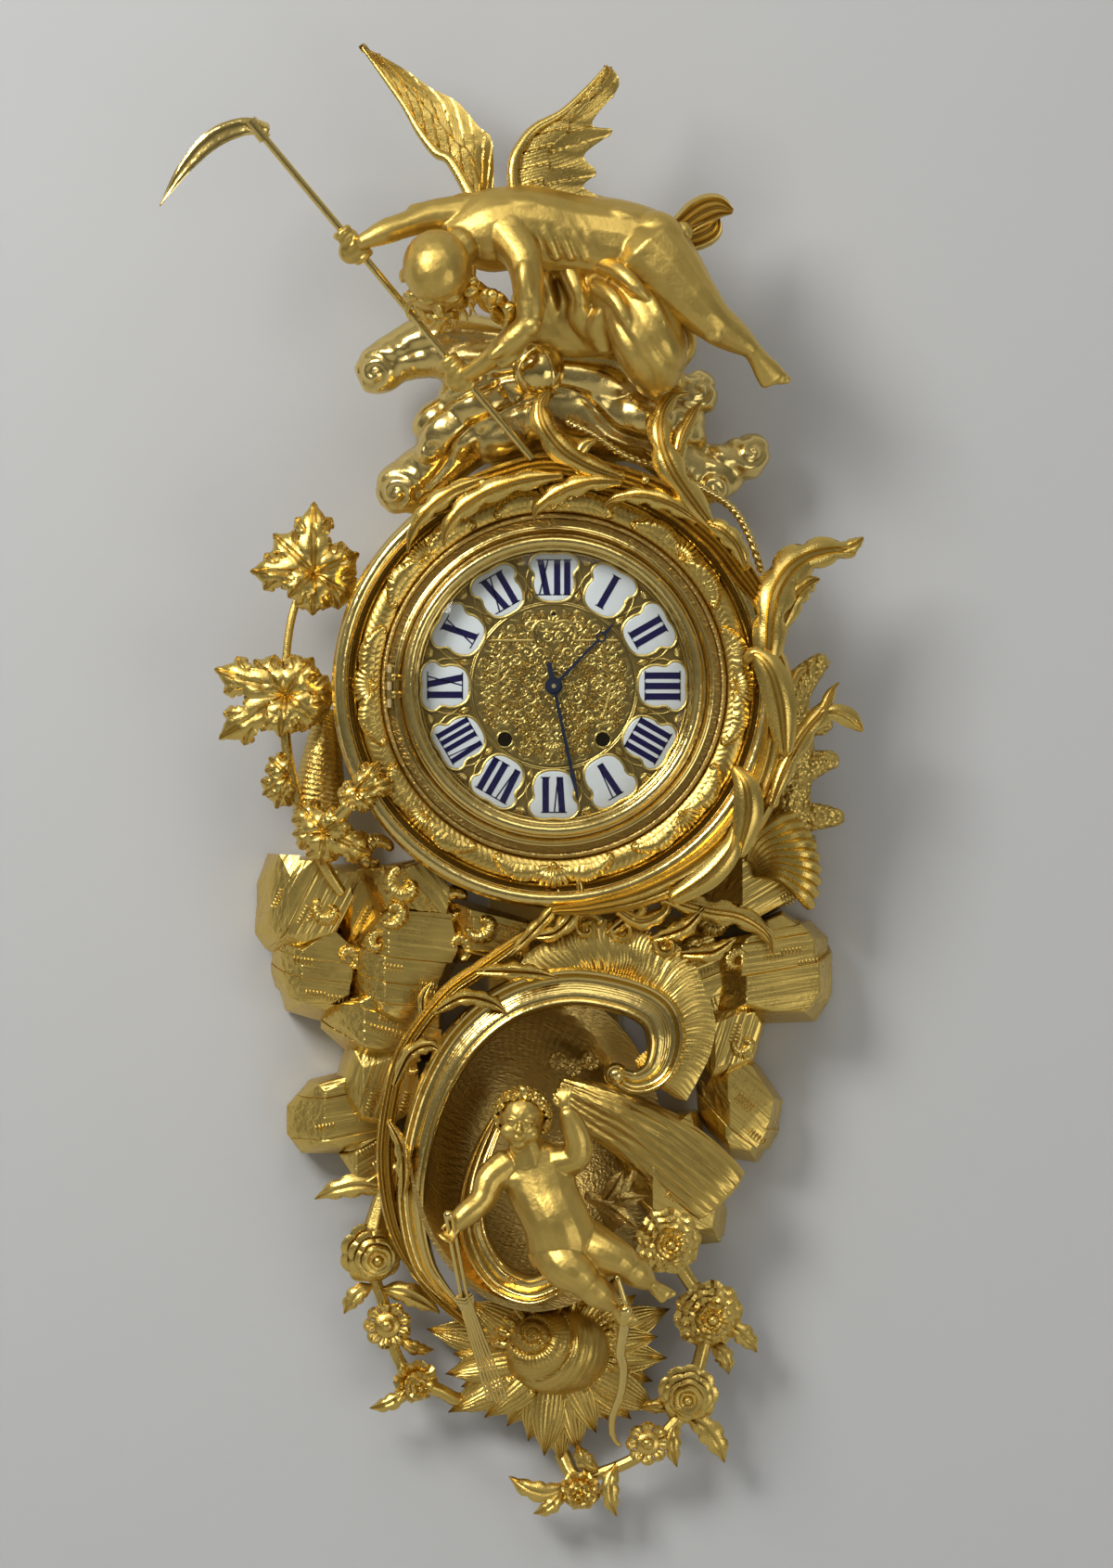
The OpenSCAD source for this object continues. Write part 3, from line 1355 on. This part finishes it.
module right_garland() {
    o = 50;
    color(gilt) hung() casting() difference() {
        at_foot() {
            bloom([106, -308, o + 40], rose_r);
            sweep([[104, -306, o + 24, 16, 14], [116, -330, o + 6, 8, 8], [132, -356, o - 4, 7, 7],
                [142, -372, o - 4, 8, 7]], 2, 6);
            bloom([144, -378, o], rose_r + 2);
            leaf([160, -388, o - 6], [174, -396, o - 6], [186, -410, o - 10], 10, 4);
            leaf([146, -406, o - 6], [154, -416, o - 4], [160, -430, o - 8], 8, 4);
            sweep([[140, -402, o - 6, 7, 7], [134, -424, o - 6, 7, 7], [128, -440, o - 6, 8, 7]], 2, 6);
            bloom([124, -452, o], rose_r - 2);
            leaf([122, -468, o - 6], [138, -494, o - 4], [156, -512, o - 8], 11, 4);
            leaf([114, -476, o - 6], [112, -498, o - 4], [114, -516, o - 8], 7, 4);
            leaf([108, -466, o - 8], [94, -470, o - 8], [82, -466, o - 12], 6, 4);
            sweep([[116, -474, o - 6, 7, 6], [100, -490, o - 6, 6, 6], [76, -510, o - 8, 6, 6],
                [44, -524, o - 14, 6, 6], [20, -528, o - 22, 7, 6], [8, -508, o - 34, 8, 6]], 2, 6);
            bloom([87, -496, o], 20, 8);
            leaf([58, -516, o - 8], [50, -538, o - 6], [58, -562, o - 10], 9, 4);
            leaf([40, -524, o - 12], [30, -516, o - 10], [24, -500, o - 14], 8, 4);
            bloom([24, -541, o - 8], 18, 6);
            leaf([10, -534, o - 14], [-14, -544, o - 12], [-40, -530, o - 16], 9, 4);
            leaf([8, -540, o - 14], [-4, -552, o - 12], [-18, -560, o - 16], 8, 4);
        }
        right_rock_form();
        frame_form();
        back_form();
        child_form();
        sun_form();
        bow_form();
    }
}

back_plate();
case_drum();
front_plate();
outer_moulding();
chased_ring();
hinge_leaf();
hinge_pin();
bezel();
bezel_glass();
glass_retainer();
dial_plate();
dial_centre();
enamel_plaques();
dial_screws();
dial_feet();
front_movement_plate();
rear_movement_plate();
movement_pillars();
going_barrel();
strike_barrel();
going_winding_arbor();
strike_winding_arbor();
intermediate_wheel();
centre_wheel();
cannon_pinion();
minute_hand();
hand_nut();
minute_wheel();
hour_wheel();
hour_hand();
third_wheel();
escape_wheel();
pallet_anchor();
pendulum();
pin_wheel();
fly();
hammer();
bell();
bell_post();
regulator_arbor();
scythe_bearer();
wings();
scythe();
drapery();
cloud_bank();
crown_scroll();
twisted_chain();
right_scroll();
coral_branch();
left_vine();
shell_horn();
left_rocks();
right_rocks();
scroll_frame();
cartouche_back();
putto();
sunburst();
torch_and_bow();
left_garland();
right_garland();
